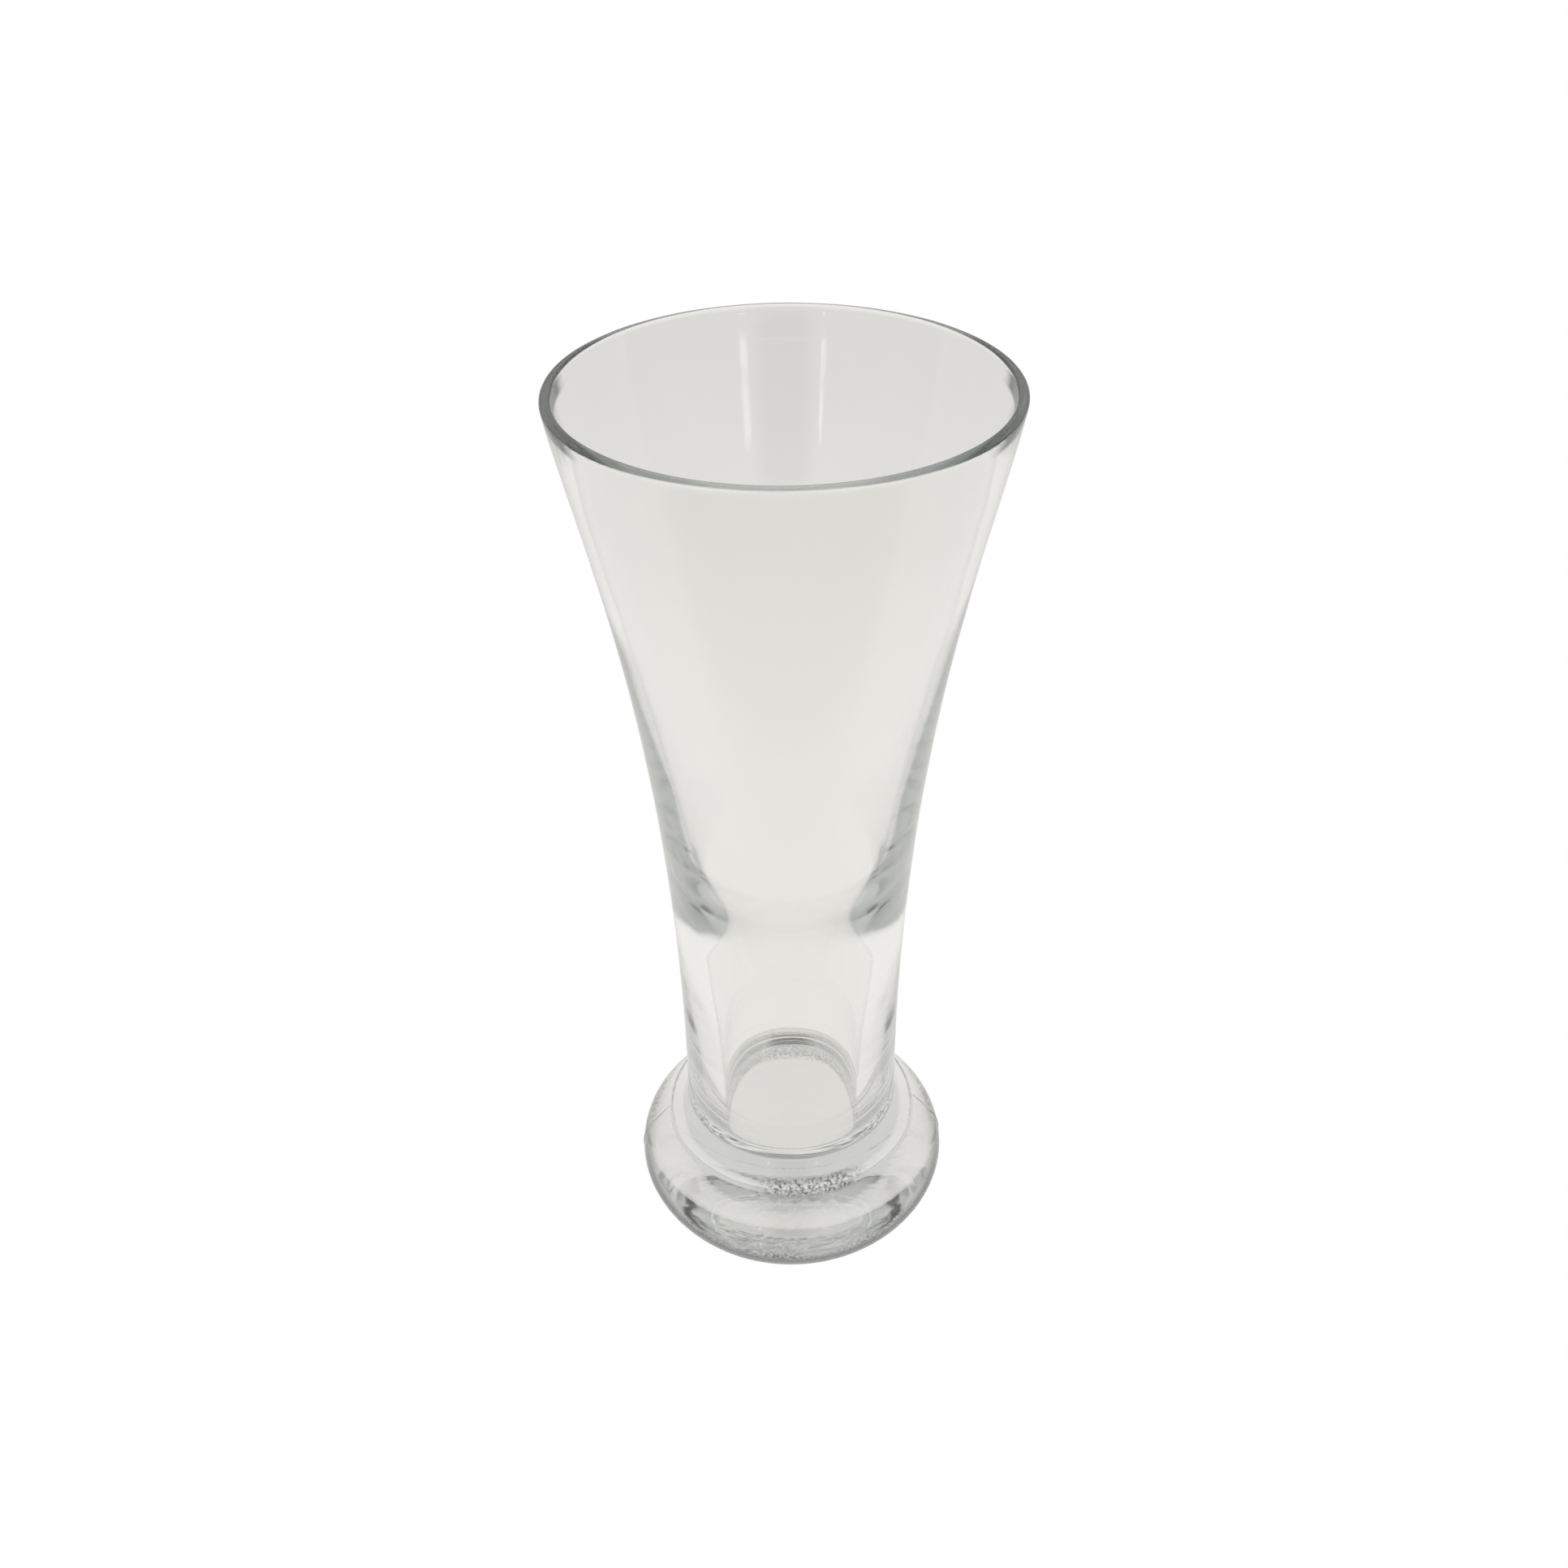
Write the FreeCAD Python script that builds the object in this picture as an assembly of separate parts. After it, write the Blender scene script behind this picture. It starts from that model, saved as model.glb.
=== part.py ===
"""Footed pilsner-style mixing glass: one piece of pressed glass, modelled as one solid.

Millimetres, +Z up. The origin is the middle of the bearing ring, on the surface that the glass stands on.
"""

import math
import os

import FreeCAD, Part

V = FreeCAD.Vector

# Driving dimensions.
GLASS_HEIGHT = 187.1
RIM_RADIUS = 40.0
LIP_THICKNESS = 2.0          # wall at the lip
LIP_ROUND = 0.9              # radius of the lip's two polished edges
FLARE_HIGH = (36.28, 163.0)  # radius and height that the flare's curve leaves the rim towards
FLARE_LOW = (21.44, 122.6)   # and that it comes into the neck from
NECK_RADIUS = 22.45          # outside, where the flare's foot meets the collar
CREASE_Z = 27.2              # height of the sharp crease between neck and collar
CREASE_ROUND = 0.6           # how far the crease's rounding runs along each side
COLLAR_RADIUS = 26.3         # the ring line round the foot, where two mould parts met
COLLAR_SAG = 0.25            # hollow of the collar between the crease and the ring line
RIDGE_WIDTH = 0.5            # of the ring line
RIDGE_HEIGHT = 0.2
FOOT_RADIUS = 33.1
FOOT_WIDEST_Z = 10.4
SHOULDER_ARC = 10.0          # radius of the foot's side above its widest place
HEEL_FALL = 0.455            # fullness of the heel's curve, as parts of its depth and width
HEEL_REACH = 0.425
RING_OUTER = 24.8            # the bearing ring that the glass stands on
RING_INNER = 23.2
BASE_RECESS = 1.3            # hollow under the middle of the base
FLOOR_Z = 24.6               # inside floor of the cavity at its middle
FLOOR_RADIUS = 12.9          # where the floor turns up into the bore
FLOOR_DISH = 0.2             # the floor's edge stands this much above its middle
FLOOR_LEVEL = 0.5            # part of the floor's radius that stays level
FLOOR_RISE = 0.8             # part of it at which the dish's rise is complete
BORE_RADIUS = 15.1           # at the bottom of the cavity
BORE_ROUND = 2.4             # height of the round corner between floor and bore
KNEE_RADIUS = 17.0           # of the cavity under the flare, where the wall is thickest
KNEE_Z = 75.5
FUNNEL_RADIUS = 21.3         # inside, where the wall has thinned into the flare
FUNNEL_Z = 100.0
# How far the cavity's curves run straight on from their lower and upper ends, in radius and height.
BORE_LEADS = ((0.1, 14.0), (0.3, 14.0))
KNEE_LEADS = ((0.25, 9.0), (1.5, 9.0))
FUNNEL_LEADS = ((6.4, 41.0), (0.7, 4.0))
SEAM_ANGLE = 3.0             # degrees that the mould's parting line is turned from the X axis
SEAM_WIDTH = 0.35
SEAM_HEIGHT = 0.12
SEAM_BOTTOM_Z = 1.5          # the parting line fades out above the bearing ring
SEAM_TOP_Z = 22.2            # and starts just under the ring line
SEAM_ROOT = 3.0              # how deep each seam rib reaches into the foot

WALL_TOP = GLASS_HEIGHT - LIP_ROUND
INNER_RIM = RIM_RADIUS - LIP_THICKNESS


def point(radius, z):
    """A place on the glass's half section, which lies in the XZ plane."""
    return V(radius, 0, z)


def line(start, end):
    return Part.LineSegment(start, end).toShape()


def arc(start, middle, end):
    return Part.Arc(start, middle, end).toShape()


def curve(*poles):
    bezier = Part.BezierCurve()
    bezier.setPoles(list(poles))
    return bezier.toShape()


def climb(start, end, leads):
    """A smooth curve up the cavity's wall."""
    return curve(start, start + point(*leads[0]), end - point(*leads[1]), end)


def revolved(edges, degrees=360.0):
    face = Part.Face(Part.Wire(edges))
    return face.revolve(V(0, 0, 0), V(0, 0, 1), degrees)


def foot_lines(grow=0.0):
    """The foot's flank, side and heel, moved outwards by grow."""
    crease = point(NECK_RADIUS, CREASE_Z)
    centre = point(FOOT_RADIUS - SHOULDER_ARC, FOOT_WIDEST_Z)
    to_crease = crease - centre
    # The straight flank runs from the crease into the side's arc without a corner.
    angle = math.atan2(to_crease.z, to_crease.x) - math.acos(SHOULDER_ARC / to_crease.Length)
    outward = V(math.cos(angle), 0, math.sin(angle))

    def on_arc(turn):
        radius = SHOULDER_ARC + grow
        return centre + V(radius * math.cos(turn), 0, radius * math.sin(turn))

    widest = on_arc(0)
    ring = point(RING_OUTER, -grow)
    heel_width = widest.x - RING_OUTER
    return {
        "outward": outward,
        "corner": crease + outward * grow,
        "down": V(outward.z, 0, -outward.x),
        "flank_end": on_arc(angle),
        "side": arc(on_arc(angle), on_arc(angle / 2), widest),
        "heel": curve(
            widest,
            widest - V(0, 0, HEEL_FALL * FOOT_WIDEST_Z),
            ring + V(HEEL_REACH * heel_width, 0, 0),
            ring,
        ),
    }


def collar(foot):
    """Edges from the crease's rounding down the hollow collar and over the ring line."""
    down = foot["down"]
    outward = foot["outward"]
    flank = foot["corner"] + down * CREASE_ROUND
    ring_line = foot["corner"] + down * ((COLLAR_RADIUS - NECK_RADIUS) / down.x)
    ridge_start = ring_line - down * (RIDGE_WIDTH / 2)
    ridge_end = ring_line + down * (RIDGE_WIDTH / 2)
    # A three-pole curve reaches half way to its middle pole.
    hollow = (flank + ridge_start) * 0.5 - outward * (2 * COLLAR_SAG)
    return [
        curve(flank, hollow, ridge_start),
        arc(ridge_start, ring_line + outward * RIDGE_HEIGHT, ridge_end),
        line(ridge_end, foot["flank_end"]),
    ]


def outside():
    """Edges of the outer surface, from the lip down to the middle of the base."""
    foot = foot_lines()
    neck = point(NECK_RADIUS, CREASE_Z + CREASE_ROUND)
    flank = foot["corner"] + foot["down"] * CREASE_ROUND
    flare = curve(point(RIM_RADIUS, WALL_TOP), point(*FLARE_HIGH), point(*FLARE_LOW), neck)
    crease = curve(neck, foot["corner"], flank)
    ring = line(point(RING_OUTER, 0), point(RING_INNER, 0))
    recess = curve(
        point(RING_INNER, 0),
        point(RING_INNER / 2, BASE_RECESS),
        point(0, BASE_RECESS),
    )
    return [flare, crease] + collar(foot) + [foot["side"], foot["heel"], ring, recess]


def inside():
    """Edges of the cavity, from the middle of its floor up to the lip."""
    floor_edge = point(FLOOR_RADIUS, FLOOR_Z + FLOOR_DISH)
    corner = point(BORE_RADIUS, FLOOR_Z + FLOOR_DISH)
    bore = corner + V(0, 0, BORE_ROUND)
    knee = point(KNEE_RADIUS, KNEE_Z)
    funnel = point(FUNNEL_RADIUS, FUNNEL_Z)
    inner_rim = point(INNER_RIM, WALL_TOP)
    floor = curve(
        point(0, FLOOR_Z),
        point(FLOOR_LEVEL * FLOOR_RADIUS, FLOOR_Z),
        point(FLOOR_RISE * FLOOR_RADIUS, FLOOR_Z + FLOOR_DISH),
        floor_edge,
    )
    return [
        floor,
        curve(floor_edge, corner, bore),
        climb(bore, knee, BORE_LEADS),
        climb(knee, funnel, KNEE_LEADS),
        climb(funnel, inner_rim, FUNNEL_LEADS),
    ]


def lip():
    """The fire-polished top that joins the two walls: two round edges and a narrow flat between."""
    cut = LIP_ROUND * (1 - math.sqrt(0.5))
    inner_flat = point(INNER_RIM + LIP_ROUND, GLASS_HEIGHT)
    outer_flat = point(RIM_RADIUS - LIP_ROUND, GLASS_HEIGHT)
    return [
        arc(point(INNER_RIM, WALL_TOP), point(INNER_RIM + cut, GLASS_HEIGHT - cut), inner_flat),
        line(inner_flat, outer_flat),
        arc(outer_flat, point(RIM_RADIUS - cut, GLASS_HEIGHT - cut), point(RIM_RADIUS, WALL_TOP)),
    ]


def seam(azimuth):
    """One side of the mould's parting line: a thin rib that follows the foot's outside."""
    foot = foot_lines(SEAM_HEIGHT)
    root = NECK_RADIUS - SEAM_ROOT
    top = foot["corner"].z
    edges = [
        line(foot["corner"], foot["flank_end"]),
        foot["side"],
        foot["heel"],
        line(point(RING_OUTER, -SEAM_HEIGHT), point(root, -SEAM_HEIGHT)),
        line(point(root, -SEAM_HEIGHT), point(root, top)),
        line(point(root, top), foot["corner"]),
    ]
    width = math.degrees(SEAM_WIDTH / FOOT_RADIUS)
    rib = revolved(edges, width)
    rib.rotate(V(0, 0, 0), V(0, 0, 1), azimuth - width / 2)
    span = 2 * FOOT_RADIUS
    band = Part.makeBox(2 * span, 2 * span, SEAM_TOP_Z - SEAM_BOTTOM_Z, V(-span, -span, SEAM_BOTTOM_Z))
    return rib.common(band)


def glass_body():
    middle = line(point(0, BASE_RECESS), point(0, FLOOR_Z))
    body = revolved(outside() + [middle] + inside() + lip())
    ribs = [seam(SEAM_ANGLE), seam(SEAM_ANGLE + 180)]
    return body.fuse(ribs).removeSplitter()


def main():
    os.makedirs("parts", exist_ok=True)
    body = glass_body()
    body.exportStep("parts/glass_body.step")
    box = body.optimalBoundingBox()
    print("solids", len(body.Solids), "valid", body.isValid(), "volume cm3", round(body.Volume / 1000, 1))
    print("box", [round(v, 2) for v in (box.XMin, box.XMax, box.YMin, box.YMax, box.ZMin, box.ZMax)])


main()
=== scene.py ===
"""Footed pilsner-style mixing glass on a pale floor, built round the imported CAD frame."""

import math

import bpy
from mathutils import Matrix, Vector, noise


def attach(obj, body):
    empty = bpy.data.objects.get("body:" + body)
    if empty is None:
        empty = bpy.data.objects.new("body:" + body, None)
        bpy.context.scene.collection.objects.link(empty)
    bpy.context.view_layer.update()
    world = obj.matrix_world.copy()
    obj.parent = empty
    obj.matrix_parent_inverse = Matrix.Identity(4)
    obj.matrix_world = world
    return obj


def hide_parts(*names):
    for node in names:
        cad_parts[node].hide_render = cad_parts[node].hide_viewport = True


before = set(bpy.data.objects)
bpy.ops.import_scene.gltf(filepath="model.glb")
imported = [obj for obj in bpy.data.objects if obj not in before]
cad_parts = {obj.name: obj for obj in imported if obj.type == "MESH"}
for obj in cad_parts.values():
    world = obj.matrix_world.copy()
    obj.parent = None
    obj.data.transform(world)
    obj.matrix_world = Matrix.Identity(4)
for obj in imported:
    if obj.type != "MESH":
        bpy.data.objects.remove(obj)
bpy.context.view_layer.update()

MM = 0.001

# Dimensions of the glass, with the same names and values as in the CAD model.
GLASS_HEIGHT = 187.1
RIM_RADIUS = 40.0
LIP_THICKNESS = 2.0
LIP_ROUND = 0.9
FLARE_HIGH = (36.28, 163.0)
FLARE_LOW = (21.44, 122.6)
NECK_RADIUS = 22.45
CREASE_Z = 27.2
CREASE_ROUND = 0.6
COLLAR_RADIUS = 26.3
COLLAR_SAG = 0.25
RIDGE_WIDTH = 0.5
RIDGE_HEIGHT = 0.2
FOOT_RADIUS = 33.1
FOOT_WIDEST_Z = 10.4
SHOULDER_ARC = 10.0
HEEL_FALL = 0.455
HEEL_REACH = 0.425
RING_OUTER = 24.8
RING_INNER = 23.2
BASE_RECESS = 1.3
FLOOR_Z = 24.6
FLOOR_RADIUS = 12.9
FLOOR_DISH = 0.2
FLOOR_LEVEL = 0.5
FLOOR_RISE = 0.8
BORE_RADIUS = 15.1
BORE_ROUND = 2.4
KNEE_RADIUS = 17.0
KNEE_Z = 75.5
FUNNEL_RADIUS = 21.3
FUNNEL_Z = 100.0
BORE_LEADS = ((0.1, 14.0), (0.3, 14.0))
KNEE_LEADS = ((0.25, 9.0), (1.5, 9.0))
FUNNEL_LEADS = ((6.4, 41.0), (0.7, 4.0))
SEAM_ANGLE = 3.0
SEAM_WIDTH = 0.35
SEAM_HEIGHT = 0.12
SEAM_BOTTOM_Z = 1.5
SEAM_TOP_Z = 22.2
WALL_TOP = GLASS_HEIGHT - LIP_ROUND

# How many rings of the mesh each stretch of the outline has, and its steps round the axis.
LIP_RINGS = 8
LIP_TOP_RINGS = 4
FLARE_RINGS = 92
EDGE_RINGS = 8
COLLAR_RINGS = 12
SHOULDER_RINGS = 16
HEEL_RINGS = 26
RECESS_RINGS = 30
FLOOR_RINGS = 16
CORNER_RINGS = 12
BORE_RINGS = 36
KNEE_RINGS = 30
FUNNEL_RINGS = 50
TURN_STEPS = 240
SEAM_STEPS = 6

# Unevenness of the surfaces in millimetres. The waves only go into the glass.
OUTSIDE_WAVE = 0.03
INSIDE_WAVE = 0.015
WAVE_LENGTH = 9.0
INSIDE_STRETCH = 3
INSIDE_OFFSET = (9, 4, 2)
STIPPLE_TOP_Z = 3.0
STIPPLE_DEPTH = 0.015
STIPPLE_SIZE = 0.9

# Chilled grain: a band round the heel and one mark on the ring line, rough and bumped, with its spots
# darkened by painted shade. Lengths are in millimetres.
HEEL_GRAIN_Z = 18.0
HEEL_GRAIN_FULL = 0.7
HEEL_GRAIN_RADIUS = 26.0
HEEL_WANDER = 8
HEEL_WANDER_SIZE = 12
RING_MARK = (4.0, -25.9, 22.6)
RING_MARK_REACH = 14.0
RING_MARK_FULL = 0.5
RING_MARK_SIDES = (1.8, 0.9)
GRAIN_SIZE = 0.65
GRAIN_SPOTS = (0.35, 0.65)
GRAIN_ROUGHNESS = (0.22, 0.06)
GRAIN_DEPTH = 0.05
# The colour of the painted shade on the grain's spots.
GRAIN_PAINTED_SHADE = (0.08, 0.09, 0.085)

# Polish and smudges all over.
SMUDGE_SIZE = 25.0
SMUDGE_SPOTS = (0.3, 0.7)
SMUDGE_ROUGHNESS = 0.03
POLISH_ROUGHNESS = 0.02

# Colour of the glass, and the painted shade that darkens it where it is seen edge on. LIP_ZONE is in
# millimetres below the top of the wall, and each GRAZE is where the painted shade starts and is complete.
GLASS_IOR = 1.52
GLASS_TINT = (0.96, 0.955, 0.945)
EDGE_PAINTED_SHADE = (0.03, 0.042, 0.042)
LIP_ZONE = (2.5, 1.5)
COLLAR_TOP = 24.0
LIP_GRAZE = (0.6, 0.72)
FOOT_GRAZE = (0.3, 0.7)
BODY_GRAZE = (0.75, 1.0)
BODY_PAINTED_SHADE = 0.7
DEPTH_TINT = (0.77, 0.80, 0.79)
DEPTH_DENSITY = 10.0

# The studio. The camera sees it plain white and the glass sees it a warm grey. SHADE_SIDES and
# SHADE_FRONT are X and Y of a direction; the floor's places are along Y, in metres.
WHITE = (1, 1, 1)
STUDIO_COLOUR = (1.0, 0.985, 0.965)
WORLD_STRENGTH = 0.75
SHADE_LEVEL = 0.05
SHADE_SIDES = (0.14, 0.364)
SHADE_FRONT = (-0.5, -0.3)
FLOOR_HALF = 6.0
FLOOR_ALBEDO = 0.25
FLOOR_ROUGHNESS = 0.9
FAR_GLOW = 0.58
NEAR_GLOW = 0.76
NEAR_START = -0.02
NEAR_END = 0.55
TABLE_GLOW = 0.5
TABLE_FRONT = (-0.15, -0.05)

# Studio lights: name, width and height, brightness, place and the point that they face, in metres.
LIGHTS = [
    ("left_strip", (0.025, 0.06), 2.4, (-0.33, -0.85, 0.21), (0, 0, 0.12)),
    ("right_strip", (0.06, 0.06), 1.6, (0.34, -0.85, 0.20), (0, 0, 0.12)),
]

# Camera: its place in metres and its turns in radians.
CAMERA_PLACE = (0, -0.2587, 0.2897)
CAMERA_PITCH = 0.6147
CAMERA_ROLL = 0.0120
CAMERA_YAW = 0.003
LENS = 38.01
SENSOR_WIDTH = 36
CLIP_START = 0.01

# How often light may pass on through the glass's many surfaces.
GLASS_BOUNCES = 96
TRANSPARENT_BOUNCES = 32


# The outline -------------------------------------------------------------------------------------

def line(start, end, steps):
    """Points along a straight line, without its last point."""
    return [start.lerp(end, i / steps) for i in range(steps)]


def curve(poles, steps):
    """Points along a Bezier curve of any degree, without its last point."""
    points = []
    for i in range(steps):
        level = list(poles)
        while len(level) > 1:
            level = [a.lerp(b, i / steps) for a, b in zip(level, level[1:])]
        points.append(level[0])
    return points


def arc(centre, radius, start, end, steps):
    """Points along a circle's arc, without its last point."""
    points = []
    for i in range(steps):
        turn = start + (end - start) * i / steps
        points.append(centre + radius * Vector((math.cos(turn), math.sin(turn))))
    return points


def collar(crease, slope):
    """The hollow collar below the crease, up to the far side of the raised ring line."""
    across = Vector((-slope.y, slope.x))
    start = crease + slope * CREASE_ROUND
    end = crease + slope * (COLLAR_RADIUS - NECK_RADIUS) / slope.x
    ridge_start = end - slope * RIDGE_WIDTH / 2
    ridge_end = end + slope * RIDGE_WIDTH / 2
    middle = start.lerp(ridge_start, 0.5) - 2 * COLLAR_SAG * across
    ridge_top = end + 2 * RIDGE_HEIGHT * across
    points = curve([start, middle, ridge_start], COLLAR_RINGS)
    points += curve([ridge_start, ridge_top, ridge_end], EDGE_RINGS)
    return points, ridge_end


def base():
    """The heel, the bearing ring and the recess under the foot."""
    widest = Vector((FOOT_RADIUS, FOOT_WIDEST_Z))
    heel_low = Vector((RING_OUTER + HEEL_REACH * (FOOT_RADIUS - RING_OUTER), 0))
    ring_outer = Vector((RING_OUTER, 0))
    ring_inner = Vector((RING_INNER, 0))
    recess = Vector((RING_INNER / 2, BASE_RECESS))
    return (
        curve([widest, widest - Vector((0, HEEL_FALL * FOOT_WIDEST_Z)), heel_low, ring_outer], HEEL_RINGS)
        + line(ring_outer, ring_inner, EDGE_RINGS)
        + curve([ring_inner, recess, Vector((0, BASE_RECESS))], RECESS_RINGS)
    )


def outside():
    """The outer surface from the top of the lip down to the middle of the base, as (radius, z)."""
    rim = Vector((RIM_RADIUS, WALL_TOP))
    neck = Vector((NECK_RADIUS, CREASE_Z + CREASE_ROUND))
    crease = Vector((NECK_RADIUS, CREASE_Z))
    centre = Vector((FOOT_RADIUS - SHOULDER_ARC, FOOT_WIDEST_Z))
    to_crease = crease - centre
    angle = math.atan2(to_crease.y, to_crease.x) - math.acos(SHOULDER_ARC / to_crease.length)
    flank_end = centre + SHOULDER_ARC * Vector((math.cos(angle), math.sin(angle)))
    slope = (flank_end - crease).normalized()
    collar_points, collar_end = collar(crease, slope)
    return (
        arc(Vector((RIM_RADIUS - LIP_ROUND, WALL_TOP)), LIP_ROUND, math.pi / 2, 0, LIP_RINGS)
        + curve([rim, Vector(FLARE_HIGH), Vector(FLARE_LOW), neck], FLARE_RINGS)
        + curve([neck, crease, crease + slope * CREASE_ROUND], EDGE_RINGS)
        + collar_points
        + line(collar_end, flank_end, EDGE_RINGS)
        + arc(centre, SHOULDER_ARC, angle, 0, SHOULDER_RINGS)
        + base()
    )


def eased(start, leads, end, steps):
    """A curve from start to end that leaves and arrives in the directions of its two leads."""
    return curve([start, start + Vector(leads[0]), end - Vector(leads[1]), end], steps)


def inside():
    """The cavity from its floor's middle up to the top of the lip."""
    inner_rim = Vector((RIM_RADIUS - LIP_THICKNESS, WALL_TOP))
    funnel = Vector((FUNNEL_RADIUS, FUNNEL_Z))
    knee = Vector((KNEE_RADIUS, KNEE_Z))
    floor_level = Vector((FLOOR_LEVEL * FLOOR_RADIUS, FLOOR_Z))
    floor_rise = Vector((FLOOR_RISE * FLOOR_RADIUS, FLOOR_Z + FLOOR_DISH))
    floor_edge = Vector((FLOOR_RADIUS, FLOOR_Z + FLOOR_DISH))
    corner = Vector((BORE_RADIUS, FLOOR_Z + FLOOR_DISH))
    bore = corner + Vector((0, BORE_ROUND))
    lip_middle = Vector((inner_rim.x + LIP_ROUND, WALL_TOP))
    lip_end = Vector((RIM_RADIUS - LIP_ROUND, GLASS_HEIGHT))
    return (
        curve([Vector((0, FLOOR_Z)), floor_level, floor_rise, floor_edge], FLOOR_RINGS)
        + curve([floor_edge, corner, bore], CORNER_RINGS)
        + eased(bore, BORE_LEADS, knee, BORE_RINGS)
        + eased(knee, KNEE_LEADS, funnel, KNEE_RINGS)
        + eased(funnel, FUNNEL_LEADS, inner_rim, FUNNEL_RINGS)
        + arc(lip_middle, LIP_ROUND, math.pi, math.pi / 2, LIP_RINGS)
        + line(lip_middle + Vector((0, LIP_ROUND)), lip_end, LIP_TOP_RINGS)
    )


# The glass ---------------------------------------------------------------------------------------

def turns():
    """Azimuths of the mesh's half sections, closer together at the mould's parting line."""
    angles = {math.tau * i / TURN_STEPS for i in range(TURN_STEPS)}
    for side in (0, math.pi):
        middle = math.radians(SEAM_ANGLE) + side
        angles = {a for a in angles if abs(a - middle) > math.tau / TURN_STEPS}
        for step in range(-SEAM_STEPS, SEAM_STEPS + 1):
            angles.add(middle + step * SEAM_WIDTH / 4 / FOOT_RADIUS)
    return sorted(angles)


def seam_rise(azimuth, radius, z):
    """How far the parting line stands out there."""
    if not SEAM_BOTTOM_Z < z < SEAM_TOP_Z:
        return 0.0
    offset = math.sin(azimuth - math.radians(SEAM_ANGLE)) * radius / (SEAM_WIDTH / 2)
    return SEAM_HEIGHT * math.exp(-offset * offset)


def outside_relief(place, azimuth, radius, z):
    """How far the real outer surface stands off its nominal shape, in mm."""
    relief = seam_rise(azimuth, radius, z)
    relief -= OUTSIDE_WAVE * (1 + noise.noise(place / WAVE_LENGTH))
    stipple = max(0.0, 1 - z / STIPPLE_TOP_Z)
    if stipple > 0:
        relief -= STIPPLE_DEPTH * min(1, 2 * stipple) * abs(noise.noise(place / STIPPLE_SIZE))
    return relief


def inside_relief(place, *_):
    """The same for the cavity, whose waves are lower and drawn out along its height."""
    stretched = Vector((place.x, place.y, place.z / INSIDE_STRETCH))
    return -INSIDE_WAVE * (1 + noise.noise(stretched / WAVE_LENGTH + Vector(INSIDE_OFFSET)))


def normals(points):
    """Unit normals of an outline, on its left."""
    result = []
    for i, p in enumerate(points):
        along = points[min(i + 1, len(points) - 1)] - points[max(i - 1, 0)]
        result.append(Vector((-along.y, along.x)).normalized())
    return result


def add_rings(verts, azimuths, outline, relief):
    """One ring of vertices for each point of the outline; gives back their numbers."""
    rings = []
    # Each outline runs with the glass on its right, so its normal on the left points out of it.
    for p, normal in zip(outline, normals(outline)):
        rings.append(range(len(verts), len(verts) + len(azimuths)))
        for a in azimuths:
            place = Vector((p.x * math.cos(a), p.x * math.sin(a), p.y))
            off = relief(place, a, p.x, p.y)
            radius = p.x + normal.x * off
            z = max(p.y + normal.y * off, 0.0)
            verts.append((radius * math.cos(a) * MM, radius * math.sin(a) * MM, z * MM))
    return rings


def add_middle(verts, z):
    """A vertex on the axis; gives back its number."""
    verts.append((0, 0, z * MM))
    return len(verts) - 1


def join(faces, first, second):
    """A band of faces between two rings."""
    for i in range(len(first)):
        j = (i + 1) % len(first)
        faces.append((first[i], second[i], second[j], first[j]))


def cap(faces, middle, ring):
    """A fan of faces from a vertex on the axis to a ring."""
    for i in range(len(ring)):
        faces.append((middle, ring[i], ring[(i + 1) % len(ring)]))


def body_mesh():
    azimuths = turns()
    verts = []
    faces = []
    outer = add_rings(verts, azimuths, outside(), outside_relief)
    base_middle = add_middle(verts, BASE_RECESS)
    floor_middle = add_middle(verts, FLOOR_Z)
    # The cavity's first point is its floor's middle, which has a vertex of its own.
    inner = add_rings(verts, azimuths, inside()[1:], inside_relief)
    for rings in (outer, inner):
        for first, second in zip(rings, rings[1:]):
            join(faces, first, second)
    join(faces, inner[-1], outer[0])
    cap(faces, base_middle, outer[-1][::-1])
    cap(faces, floor_middle, inner[0])
    mesh = bpy.data.meshes.new("glass")
    mesh.from_pydata(verts, [], faces)
    mesh.shade_smooth()
    mesh.validate()
    return mesh


# Nodes -------------------------------------------------------------------------------------------

def math_node(tree, operation, *values):
    """A math node; each value is a number or another node's socket."""
    node = tree.nodes.new("ShaderNodeMath")
    node.operation = operation
    for socket, value in zip(node.inputs, values):
        if isinstance(value, (int, float)):
            socket.default_value = value
        else:
            tree.links.new(value, socket)
    return node.outputs["Value"]


def noise_node(tree, place, size, detail):
    """Noise whose spots are about size millimetres across."""
    node = tree.nodes.new("ShaderNodeTexNoise")
    node.inputs["Scale"].default_value = 1 / (size * MM)
    node.inputs["Detail"].default_value = detail
    tree.links.new(place, node.inputs["Vector"])
    return node.outputs["Fac"]


def fade(tree, value, start, end, shape="SMOOTHSTEP"):
    """0 at start and 1 at end, smooth or linear between."""
    node = tree.nodes.new("ShaderNodeMapRange")
    node.interpolation_type = shape
    node.inputs["From Min"].default_value = start
    node.inputs["From Max"].default_value = end
    tree.links.new(value, node.inputs["Value"])
    return node.outputs["Result"]


def tinted(tree, start, end, factor):
    """A colour that goes from start to end by factor; start is a colour or another node's socket."""
    node = tree.nodes.new("ShaderNodeMix")
    node.data_type = "RGBA"
    if isinstance(start, tuple):
        node.inputs["A"].default_value = (*start, 1)
    else:
        tree.links.new(start, node.inputs["A"])
    node.inputs["B"].default_value = (*end, 1)
    tree.links.new(factor, node.inputs["Factor"])
    return node.outputs["Result"]


def separated(tree, place):
    """The node that splits a place or a direction into X, Y and Z."""
    node = tree.nodes.new("ShaderNodeSeparateXYZ")
    tree.links.new(place, node.inputs["Vector"])
    return node


# The glass's material ----------------------------------------------------------------------------

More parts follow.
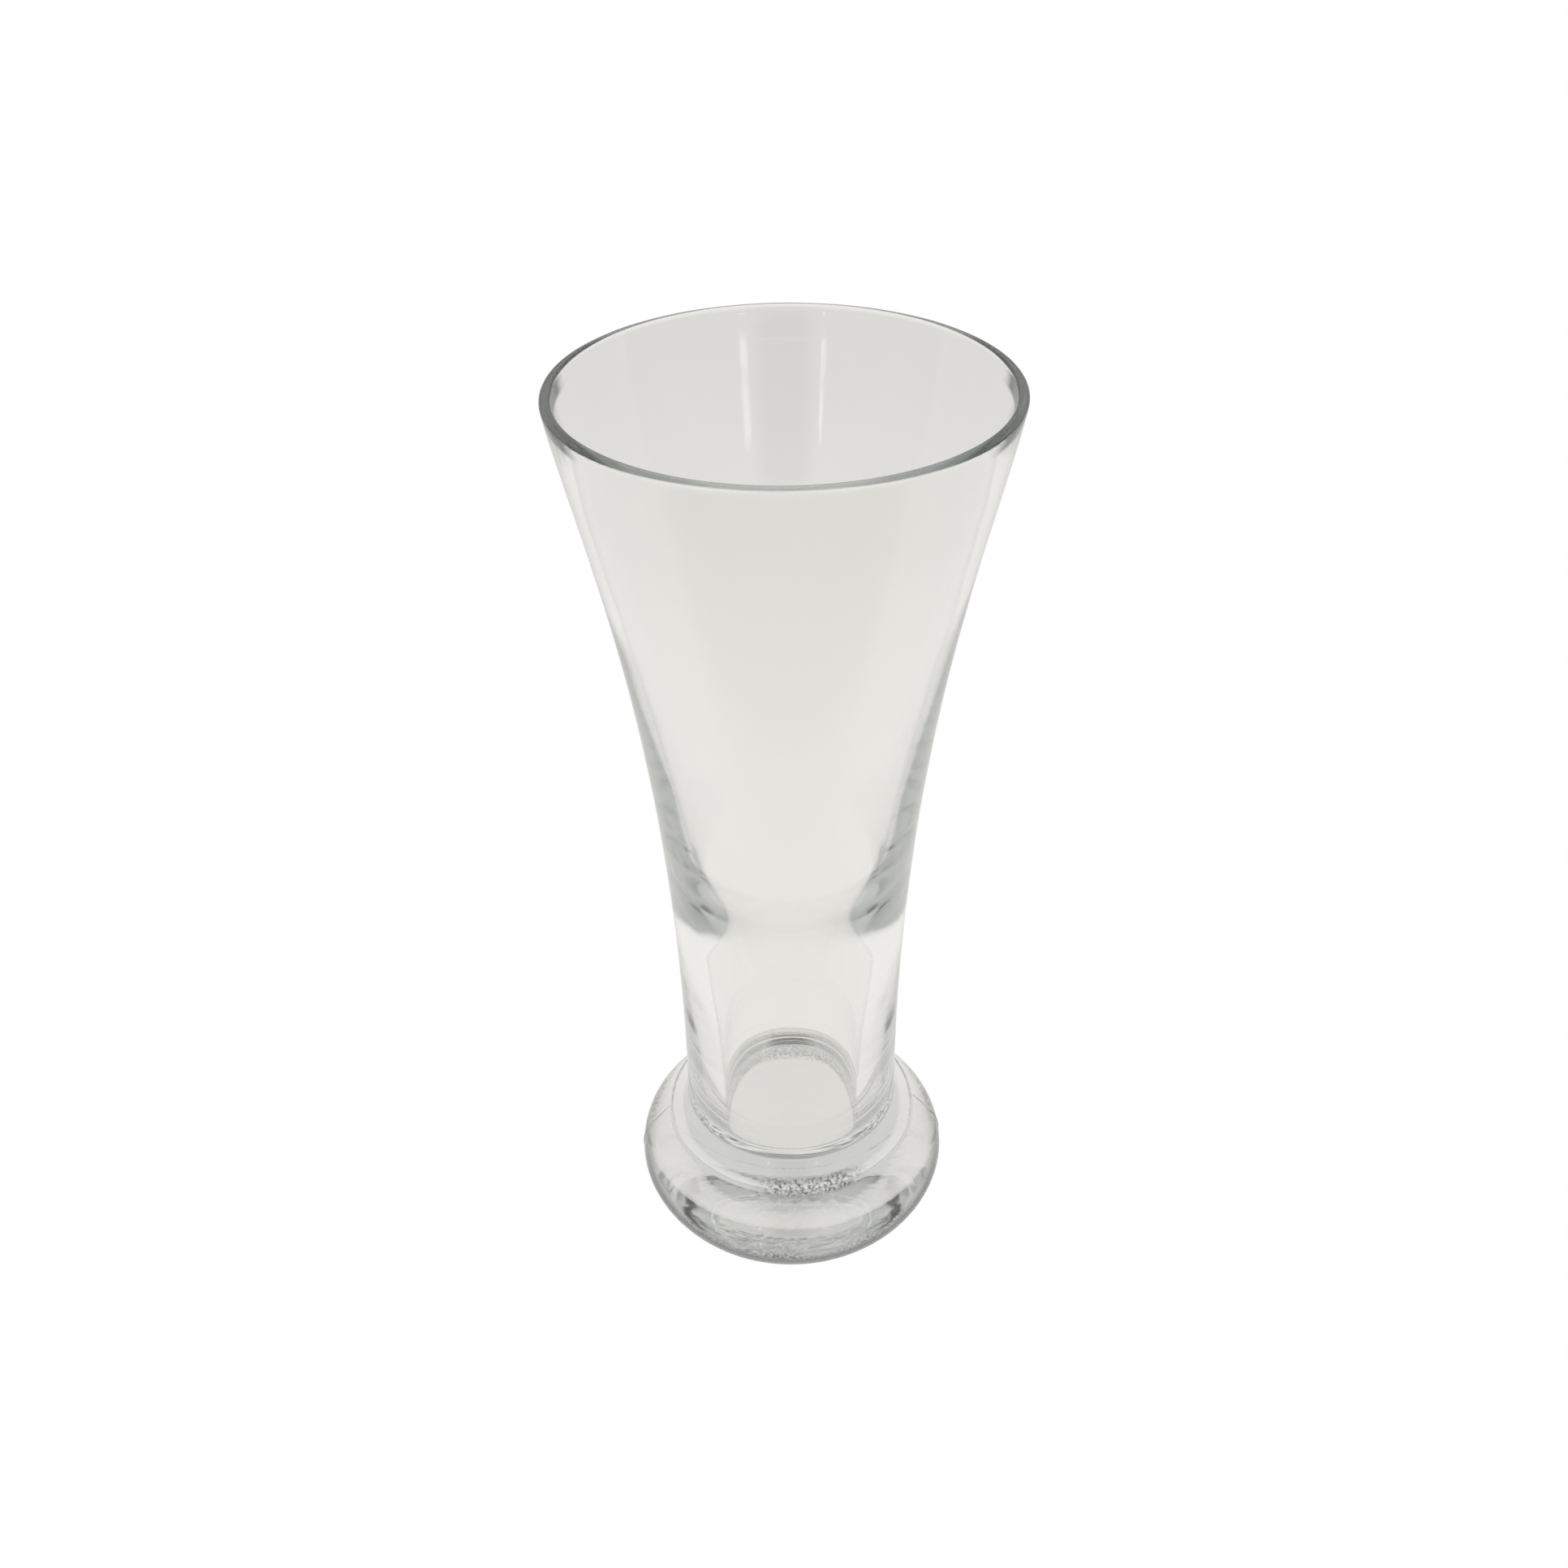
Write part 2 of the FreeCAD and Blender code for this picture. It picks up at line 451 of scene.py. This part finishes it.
def from_axis(tree, split):
    """How far a place is from the glass's axis."""
    x_squared = math_node(tree, "MULTIPLY", split.outputs["X"], split.outputs["X"])
    y_squared = math_node(tree, "MULTIPLY", split.outputs["Y"], split.outputs["Y"])
    return math_node(tree, "SQRT", math_node(tree, "ADD", x_squared, y_squared))


def heel_grain_and_shade(tree, place, split):
    """The band round the heel for the grain and its painted shade, with an uneven upper edge."""
    wander = noise_node(tree, place, HEEL_WANDER_SIZE, 2)
    height = math_node(tree, "ADD", split.outputs["Z"], math_node(tree, "MULTIPLY", wander, HEEL_WANDER * MM))
    low = fade(tree, height, HEEL_GRAIN_Z * MM, HEEL_GRAIN_FULL * HEEL_GRAIN_Z * MM)
    side = fade(tree, from_axis(tree, split), RING_INNER * MM, HEEL_GRAIN_RADIUS * MM)
    return math_node(tree, "MULTIPLY", low, side)


def ring_grain_and_shade(tree, place, split):
    """The grain's one mark along the ring line, which carries painted shade as well."""
    offset = tree.nodes.new("ShaderNodeVectorMath")
    offset.operation = "DISTANCE"
    tree.links.new(place, offset.inputs[0])
    offset.inputs[1].default_value = Vector(RING_MARK) * MM
    reach = RING_MARK_REACH * MM
    near = fade(tree, offset.outputs["Value"], reach, RING_MARK_FULL * reach)
    above = math_node(tree, "SUBTRACT", split.outputs["Z"], RING_MARK[2] * MM)
    beside = fade(tree, math_node(tree, "ABSOLUTE", above), *[side * MM for side in RING_MARK_SIDES])
    return math_node(tree, "MULTIPLY", near, beside)


def painted_edge_shade(tree, split):
    """How much painted shade darkens the glass edge on: most in the thick lip and foot, less in the body."""
    facing = tree.nodes.new("ShaderNodeLayerWeight").outputs["Facing"]
    in_lip = fade(tree, split.outputs["Z"], *[(WALL_TOP - depth) * MM for depth in LIP_ZONE])
    in_foot = fade(tree, split.outputs["Z"], COLLAR_TOP * MM, FOOT_WIDEST_Z * MM)
    lip = math_node(tree, "MULTIPLY", in_lip, fade(tree, facing, *LIP_GRAZE))
    foot = math_node(tree, "MULTIPLY", in_foot, fade(tree, facing, *FOOT_GRAZE))
    body = math_node(tree, "MULTIPLY", fade(tree, facing, *BODY_GRAZE), BODY_PAINTED_SHADE)
    return math_node(tree, "MAXIMUM", body, math_node(tree, "MAXIMUM", lip, foot))


def glass_roughness(tree, place, grain_and_shade, spots):
    """A fire polish with faint smudges, rougher where the glass is chilled."""
    grain = math_node(tree, "MULTIPLY", grain_and_shade, math_node(tree, "MULTIPLY_ADD", spots, *GRAIN_ROUGHNESS))
    smudges = fade(tree, noise_node(tree, place, SMUDGE_SIZE, 3), *SMUDGE_SPOTS)
    polish = math_node(tree, "MULTIPLY_ADD", smudges, SMUDGE_ROUGHNESS, POLISH_ROUGHNESS)
    return math_node(tree, "ADD", grain, polish)


def grain_bump(tree, place, grain_and_shade):
    """The chilled grain's relief."""
    bump = tree.nodes.new("ShaderNodeBump")
    bump.inputs["Distance"].default_value = GRAIN_DEPTH * MM
    tree.links.new(grain_and_shade, bump.inputs["Strength"])
    tree.links.new(noise_node(tree, place, GRAIN_SIZE, 2), bump.inputs["Height"])
    return bump.outputs["Normal"]


def depth_absorption(tree):
    """The tint that light takes on by the way it goes inside the glass."""
    depth = tree.nodes.new("ShaderNodeVolumeAbsorption")
    depth.inputs["Color"].default_value = (*DEPTH_TINT, 1)
    depth.inputs["Density"].default_value = DEPTH_DENSITY
    return depth.outputs["Volume"]


def glass_material():
    material = bpy.data.materials.new("pressed_glass")
    material.use_nodes = True
    tree = material.node_tree
    shader = tree.nodes["Principled BSDF"]
    shader.inputs["Transmission Weight"].default_value = 1
    shader.inputs["IOR"].default_value = GLASS_IOR
    place = tree.nodes.new("ShaderNodeTexCoord").outputs["Object"]
    split = separated(tree, place)
    grain_and_shade = math_node(tree, "MAXIMUM", heel_grain_and_shade(tree, place, split), ring_grain_and_shade(tree, place, split))
    spots = fade(tree, noise_node(tree, place, GRAIN_SIZE, 3), *GRAIN_SPOTS)
    # The glass's tint, with painted shade where it is seen edge on.
    clear = tinted(tree, GLASS_TINT, EDGE_PAINTED_SHADE, painted_edge_shade(tree, split))
    # The grain's spots are darkened further with painted shade.
    shade_specked = tinted(tree, clear, GRAIN_PAINTED_SHADE, math_node(tree, "MULTIPLY", grain_and_shade, spots))
    tree.links.new(shade_specked, shader.inputs["Base Color"])
    tree.links.new(glass_roughness(tree, place, grain_and_shade, spots), shader.inputs["Roughness"])
    tree.links.new(grain_bump(tree, place, grain_and_shade), shader.inputs["Normal"])
    tree.links.new(depth_absorption(tree), tree.nodes["Material Output"].inputs["Volume"])
    return material


def make_glass():
    glass = bpy.data.objects.new("glass", body_mesh())
    bpy.context.scene.collection.objects.link(glass)
    glass.data.materials.append(glass_material())
    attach(glass, "root")
    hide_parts("glass_body")


# The studio --------------------------------------------------------------------------------------

def floor_glow(tree):
    """The floor's brightness: most near the glass, less far behind it and least towards the camera."""
    place = separated(tree, tree.nodes.new("ShaderNodeTexCoord").outputs["Object"])
    near = fade(tree, place.outputs["Y"], NEAR_END, NEAR_START)
    beyond_front = fade(tree, place.outputs["Y"], *TABLE_FRONT)
    bright = math_node(tree, "MULTIPLY_ADD", near, NEAR_GLOW - FAR_GLOW, FAR_GLOW)
    extra = math_node(tree, "SUBTRACT", bright, TABLE_GLOW)
    return math_node(tree, "MULTIPLY_ADD", extra, beyond_front, TABLE_GLOW)


def floor_material():
    material = bpy.data.materials.new("white_floor")
    material.use_nodes = True
    tree = material.node_tree
    shader = tree.nodes["Principled BSDF"]
    shader.inputs["Base Color"].default_value = (FLOOR_ALBEDO, FLOOR_ALBEDO, FLOOR_ALBEDO, 1)
    shader.inputs["Roughness"].default_value = FLOOR_ROUGHNESS
    shader.inputs["Specular IOR Level"].default_value = 0.0
    shader.inputs["Emission Color"].default_value = (*STUDIO_COLOUR, 1)
    tree.links.new(floor_glow(tree), shader.inputs["Emission Strength"])
    white = tree.nodes.new("ShaderNodeEmission")
    seen = tree.nodes.new("ShaderNodeLightPath").outputs["Is Camera Ray"]
    mix = tree.nodes.new("ShaderNodeMixShader")
    tree.links.new(seen, mix.inputs["Fac"])
    tree.links.new(shader.outputs["BSDF"], mix.inputs[1])
    tree.links.new(white.outputs["Emission"], mix.inputs[2])
    tree.links.new(mix.outputs["Shader"], tree.nodes["Material Output"].inputs["Surface"])
    return material


def make_floor():
    mesh = bpy.data.meshes.new("floor")
    corners = [(x * FLOOR_HALF, y * FLOOR_HALF, 0) for x, y in ((-1, -1), (1, -1), (1, 1), (-1, 1))]
    mesh.from_pydata(corners, [], [(0, 1, 2, 3)])
    floor = bpy.data.objects.new("floor", mesh)
    bpy.context.scene.collection.objects.link(floor)
    floor.data.materials.append(floor_material())


def make_world():
    """A warm grey studio with a dark shade on the camera's side; the camera itself sees plain white."""
    world = bpy.data.worlds.new("studio")
    world.use_nodes = True
    tree = world.node_tree
    background = tree.nodes["Background"]
    split = separated(tree, tree.nodes.new("ShaderNodeTexCoord").outputs["Generated"])
    side = fade(tree, math_node(tree, "ABSOLUTE", split.outputs["X"]), *SHADE_SIDES)
    front = fade(tree, split.outputs["Y"], *SHADE_FRONT, "LINEAR")
    clear = math_node(tree, "MAXIMUM", side, front)
    shade = SHADE_LEVEL * WORLD_STRENGTH
    level = math_node(tree, "MULTIPLY_ADD", clear, WORLD_STRENGTH - shade, shade)
    seen = tree.nodes.new("ShaderNodeLightPath").outputs["Is Camera Ray"]
    strength = math_node(tree, "MULTIPLY_ADD", seen, math_node(tree, "SUBTRACT", 1, level), level)
    tree.links.new(strength, background.inputs["Strength"])
    tree.links.new(tinted(tree, STUDIO_COLOUR, WHITE, seen), background.inputs["Color"])
    bpy.context.scene.world = world


def make_light(name, size, radiance, place, target):
    data = bpy.data.lights.new(name, "AREA")
    data.shape = "RECTANGLE"
    data.size, data.size_y = size
    data.energy = radiance * math.pi * size[0] * size[1]
    lamp = bpy.data.objects.new(name, data)
    lamp.location = place
    lamp.rotation_euler = (Vector(target) - Vector(place)).to_track_quat("-Z", "Y").to_euler()
    lamp.visible_camera = False
    bpy.context.scene.collection.objects.link(lamp)


def make_camera():
    data = bpy.data.cameras.new("camera")
    data.sensor_width = SENSOR_WIDTH
    data.lens = LENS
    data.clip_start = CLIP_START
    camera = bpy.data.objects.new("camera", data)
    turn = (Matrix.Rotation(CAMERA_YAW, 4, "Z") @ Matrix.Rotation(math.pi / 2 - CAMERA_PITCH, 4, "X")
            @ Matrix.Rotation(-CAMERA_ROLL, 4, "Z"))
    camera.matrix_world = Matrix.Translation(CAMERA_PLACE) @ turn
    bpy.context.scene.collection.objects.link(camera)
    bpy.context.scene.camera = camera


def set_look():
    scene = bpy.context.scene
    scene.view_settings.view_transform = "Standard"
    scene.cycles.max_bounces = GLASS_BOUNCES
    scene.cycles.transmission_bounces = GLASS_BOUNCES
    scene.cycles.glossy_bounces = GLASS_BOUNCES
    scene.cycles.transparent_max_bounces = TRANSPARENT_BOUNCES


make_glass()
make_floor()
make_world()
for light in LIGHTS:
    make_light(*light)
make_camera()
set_look()
